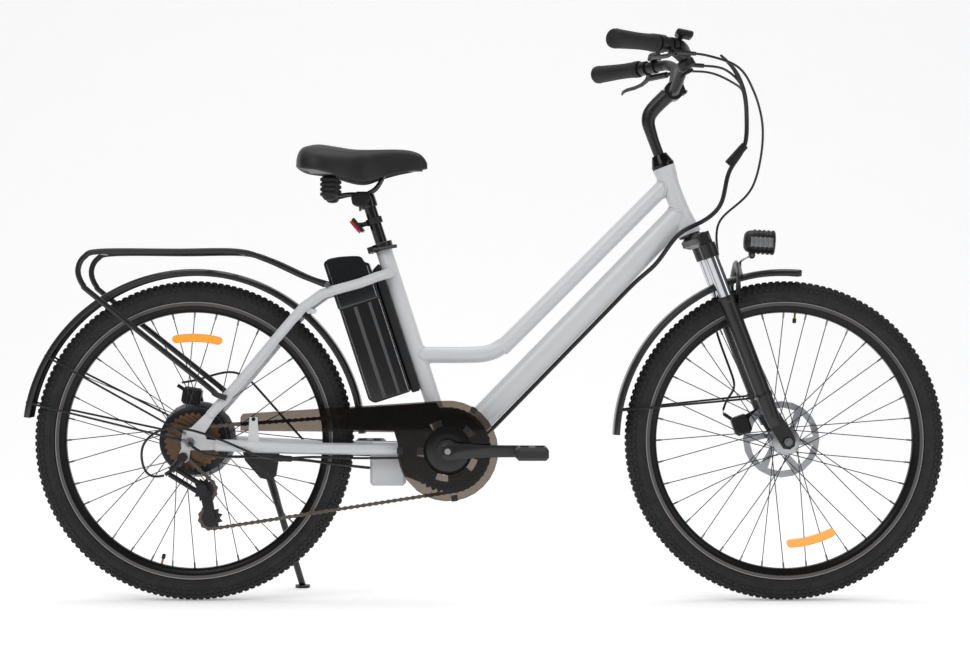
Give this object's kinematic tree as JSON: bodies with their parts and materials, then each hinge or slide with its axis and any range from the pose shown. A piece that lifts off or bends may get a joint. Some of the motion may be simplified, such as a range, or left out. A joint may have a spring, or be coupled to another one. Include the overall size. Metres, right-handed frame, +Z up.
{
  "type": "electric_bicycle",
  "caption": "Step-through electric bicycle for town riding, with a seat-tube battery, rear hub motor, sprung fork, disc brakes, swept-back bar, mudguards, rack and side stand",
  "frame": {"origin": "on the ground, on the bicycle's middle plane, below the middle of its overall length", "axes": "+X forward, +Y to the rider's left, +Z up"},
  "size_m": [1.9008, 0.6239, 1.1588],
  "materials": {
    "frame_paint": "satin light grey paint",
    "black_paint": "semi-gloss black paint",
    "rim_paint": "black anodised",
    "dark_steel": "dark zinc-plated steel",
    "chain_steel": "oiled steel",
    "rotor_steel": "ground stainless steel",
    "black_plastic": "matt black",
    "battery_case": "matt black, lightly grained",
    "smoked_plastic": "smoked, slightly glossy",
    "lamp_plastic": "black case with a clear lens",
    "reflector_red": "red prismatic",
    "saddle_skin": "matt black imitation leather",
    "grip_rubber": "matt black, ribbed",
    "cable_rubber": "satin black sleeve",
    "tyre_rubber": "matt black tread and side wall"
  },
  "bodies": {
    "frame": {"frame_front": "frame_paint", "frame_rear": "frame_paint", "headset_cap": "black_paint", "controller_box": "black_plastic", "battery_rail": "black_plastic", "seat_collar": "black_paint", "rack": "black_paint", "rear_fender": "black_paint", "rear_caliper": "black_paint", "rear_axle": "dark_steel", "chain_guard": "smoked_plastic", "chain": "chain_steel", "derailleur": "black_plastic", "motor_cable": "cable_rubber", "rear_brake_cable": "cable_rubber", "cable_bundle": "cable_rubber"},
    "steer": {"fork_crown": "black_paint", "stem": "black_paint", "handlebar": "black_paint", "grip_right": "grip_rubber", "grip_left": "grip_rubber", "brake_perch_right": "black_paint", "brake_perch_left": "black_paint", "shifter": "black_plastic", "display": "black_plastic", "bell": "black_paint", "front_brake_cable": "cable_rubber"},
    "fork_slide": {"fork_lowers": "black_paint", "front_fender": "black_paint", "front_caliper": "black_paint", "front_axle": "dark_steel"},
    "front_wheel": {"front_tyre": "tyre_rubber", "front_rim": "rim_paint", "front_hub": "dark_steel", "front_rotor": "rotor_steel"},
    "rear_wheel": {"rear_tyre": "tyre_rubber", "rear_rim": "rim_paint", "motor_hub": "black_paint", "rear_rotor": "rotor_steel"},
    "headlight": {"headlight": "lamp_plastic"},
    "throttle": {"throttle": "grip_rubber"},
    "brake_lever_right": {"brake_lever_right": "black_paint"},
    "brake_lever_left": {"brake_lever_left": "black_paint"},
    "shift_lever": {"shift_lever": "black_plastic"},
    "crank": {"chainring": "dark_steel", "crank_right": "black_paint", "crank_left": "black_paint"},
    "pedal_right": {"pedal_right": "black_plastic"},
    "pedal_left": {"pedal_left": "black_plastic"},
    "cassette": {"cassette": "dark_steel"},
    "pulley_upper": {"pulley_upper": "black_plastic"},
    "pulley_lower": {"pulley_lower": "black_plastic"},
    "kickstand": {"kickstand_leg": "black_paint"},
    "quick_lever": {"quick_lever": "black_paint"},
    "battery": {"battery": "battery_case"},
    "seat": {"seatpost": "black_paint", "rear_reflector": "reflector_red", "saddle_frame": "black_paint", "saddle_base": "black_plastic", "saddle_cover": "saddle_skin"}
  },
  "joints": [
    {"name": "steering", "type": "hinge", "parent": "frame", "child": "steer", "pos_m": [0.42254, 0, 0.75707], "axis": [-0.3551, 0, 0.9348], "range_deg": [-60, 60], "deforming": ["cable_bundle"]},
    {"name": "fork_travel", "type": "slide", "parent": "steer", "child": "fork_slide", "axis": [-0.3551, 0, 0.9348], "range_m": [0, 0.05], "stiffness_N_per_m": 8000, "springref_m": -0.02, "deforming": ["front_brake_cable"]},
    {"name": "front_wheel_spin", "type": "hinge", "parent": "fork_slide", "child": "front_wheel", "pos_m": [0.619, 0, 0.33], "axis": [0, 1, 0], "continuous": true},
    {"name": "rear_wheel_spin", "type": "hinge", "parent": "frame", "child": "rear_wheel", "pos_m": [-0.601, 0, 0.33], "axis": [0, 1, 0], "continuous": true},
    {"name": "headlight_tilt", "type": "hinge", "parent": "fork_slide", "child": "headlight", "pos_m": [0.55265, 0, 0.71247], "axis": [0, 1, 0], "range_deg": [-10, 15]},
    {"name": "throttle_twist", "type": "hinge", "parent": "steer", "child": "throttle", "pos_m": [0.34513, -0.20096, 1.12499], "axis": [-0.7143, -0.6995, -0.02], "range_deg": [0, 45], "stiffness_Nm_per_rad": 0.2, "springref_deg": -17.19},
    {"name": "brake_lever_right_pull", "type": "hinge", "parent": "steer", "child": "brake_lever_right", "pos_m": [0.3689, -0.21022, 1.10624], "axis": [-0.4311, 0.4623, -0.7749], "range_deg": [0, 18], "stiffness_Nm_per_rad": 3, "springref_deg": -11.46},
    {"name": "brake_lever_left_pull", "type": "hinge", "parent": "steer", "child": "brake_lever_left", "pos_m": [0.35604, 0.22281, 1.10588], "axis": [0.4311, 0.4623, 0.7749], "range_deg": [0, 18], "stiffness_Nm_per_rad": 3, "springref_deg": -11.46},
    {"name": "shift_lever_push", "type": "hinge", "parent": "steer", "child": "shift_lever", "pos_m": [0.41009, -0.14633, 1.07705], "axis": [-0.507, 0, 0.8619], "range_deg": [0, 25], "stiffness_Nm_per_rad": 0.2, "springref_deg": -17.19},
    {"name": "crank_spin", "type": "hinge", "parent": "frame", "child": "crank", "pos_m": [-0.0758, 0, 0.312], "axis": [0, 1, 0], "continuous": true},
    {"name": "pedal_right_spin", "type": "hinge", "parent": "crank", "child": "pedal_right", "pos_m": [0.0942, -0.077, 0.312], "axis": [0, 1, 0], "continuous": true},
    {"name": "pedal_left_spin", "type": "hinge", "parent": "crank", "child": "pedal_left", "pos_m": [-0.2458, 0.077, 0.312], "axis": [0, 1, 0], "continuous": true},
    {"name": "cassette_spin", "type": "hinge", "parent": "frame", "child": "cassette", "pos_m": [-0.601, 0, 0.33], "axis": [0, 1, 0], "continuous": true},
    {"name": "pulley_upper_spin", "type": "hinge", "parent": "frame", "child": "pulley_upper", "pos_m": [-0.572, 0, 0.232], "axis": [0, 1, 0], "continuous": true},
    {"name": "pulley_lower_spin", "type": "hinge", "parent": "frame", "child": "pulley_lower", "pos_m": [-0.56, 0, 0.175], "axis": [0, 1, 0], "continuous": true},
    {"name": "kickstand_fold", "type": "hinge", "parent": "frame", "child": "kickstand", "pos_m": [-0.458, 0.077, 0.262], "axis": [-0.1422, 0.9826, 0.1192], "range_deg": [0, 105]},
    {"name": "quick_lever_open", "type": "hinge", "parent": "frame", "child": "quick_lever", "pos_m": [-0.23538, -0.0211, 0.72385], "axis": [0.309, 0, -0.9511], "range_deg": [0, 100]},
    {"name": "seatpost_height", "type": "slide", "parent": "frame", "child": "seat", "axis": [-0.309, 0, 0.9511], "range_m": [-0.01, 0.1]},
    {"name": "battery_release", "type": "slide", "parent": "frame", "child": "battery", "axis": [-0.309, 0, 0.9511], "range_m": [0, 0.035]}
  ],
  "couplings": [
    {"joint": "cassette_spin", "follows": "crank_spin", "ratio": 3},
    {"joint": "pulley_upper_spin", "follows": "crank_spin", "ratio": -3.8182},
    {"joint": "pulley_lower_spin", "follows": "crank_spin", "ratio": 3.8182}
  ]
}
